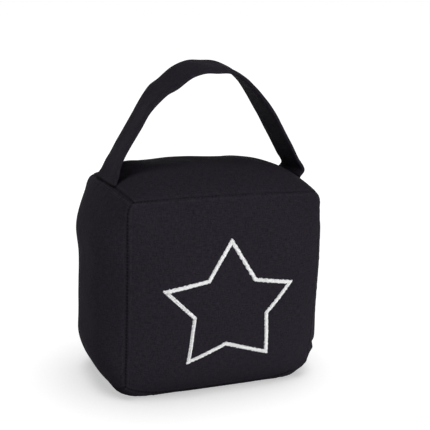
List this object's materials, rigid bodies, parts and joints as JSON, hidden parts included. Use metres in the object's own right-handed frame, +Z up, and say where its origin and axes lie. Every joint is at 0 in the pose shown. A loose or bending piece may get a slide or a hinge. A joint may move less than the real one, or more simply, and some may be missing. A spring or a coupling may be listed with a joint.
{
  "type": "weighted fabric door stop",
  "caption": "Soft cube-like bag of black cloth with a heavy filling, a sewn carrying strap over its top and an outlined star embroidered in white on its front.",
  "frame": {"origin": "on the floor under the middle of the bag, at the centre of the base of the bounding box", "axes": "+Z up through the strap, -Y out of the front with the star, +X to the right seen from the front"},
  "size_m": [0.14, 0.1004, 0.1852],
  "materials": {
    "black_cloth": "plain-woven cotton, matt, black with a slight purple cast",
    "strap_cloth": "the same plain-woven cotton, sewn as a flat tube",
    "white_thread": "white embroidery thread in satin stitch, soft sheen"
  },
  "bodies": {
    "root": {"stuffed_bag": "black_cloth", "carrying_strap": "strap_cloth", "embroidered_star": "white_thread"}
  },
  "joints": []
}
